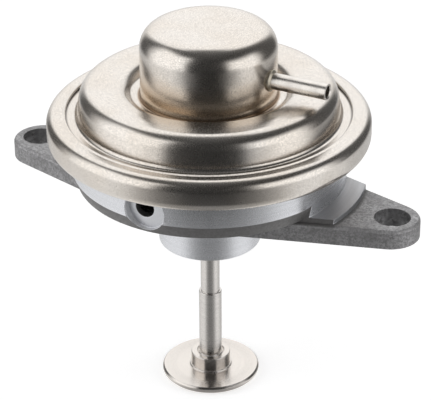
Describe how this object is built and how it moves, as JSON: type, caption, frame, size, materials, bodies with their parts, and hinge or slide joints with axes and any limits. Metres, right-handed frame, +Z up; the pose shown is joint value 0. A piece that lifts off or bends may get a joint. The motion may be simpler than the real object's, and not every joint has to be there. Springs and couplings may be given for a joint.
{
  "type": "egr valve",
  "caption": "Vacuum exhaust gas recirculation valve: a domed diaphragm housing with a side nipple on a two-eared flange, and a long stem that lifts a round valve plate.",
  "frame": {"origin": "centre of the two bolt holes, on the flange's mounting face", "axes": "+Z up the stem towards the vacuum cup, +X through the bolt holes on the nipple's side, -Y towards the vent port"},
  "size_m": [0.1148, 0.082, 0.1003],
  "materials": {
    "cast_aluminium": "die cast and turned, as cast grey on the ears",
    "nickel_steel": "pressed sheet with a satin nickel finish",
    "braze": "dull silver braze",
    "stainless": "turned stainless steel",
    "black_rubber": "moulded",
    "zinc_steel": "pressed and zinc plated",
    "spring_steel": "drawn wire",
    "bronze": "sintered, oil filled",
    "seal_rubber": "moulded fluorocarbon"
  },
  "bodies": {
    "housing": {"valve_body": "cast_aluminium", "upper_cover": "nickel_steel", "crimp_ring": "nickel_steel", "vacuum_nipple": "nickel_steel", "nipple_braze_ring": "braze", "diaphragm": "black_rubber", "spring_upper_seat": "zinc_steel", "return_spring": "spring_steel", "guide_bush": "bronze", "stem_seal": "seal_rubber", "seal_cap": "zinc_steel", "scraper_ring": "bronze", "scraper_retainer": "stainless"},
    "valve": {"valve_stem": "stainless", "valve_plate": "stainless", "support_washer": "zinc_steel", "lower_diaphragm_plate": "zinc_steel", "upper_diaphragm_plate": "zinc_steel", "clamp_washer": "zinc_steel", "stem_nut": "zinc_steel"}
  },
  "joints": [
    {"name": "valve_lift", "type": "slide", "parent": "housing", "child": "valve", "axis": [0, 0, 1], "range_m": [0, 0.006], "stiffness_N_per_m": 4000, "springref_m": -0.015, "deforming": ["return_spring", "diaphragm"]}
  ]
}
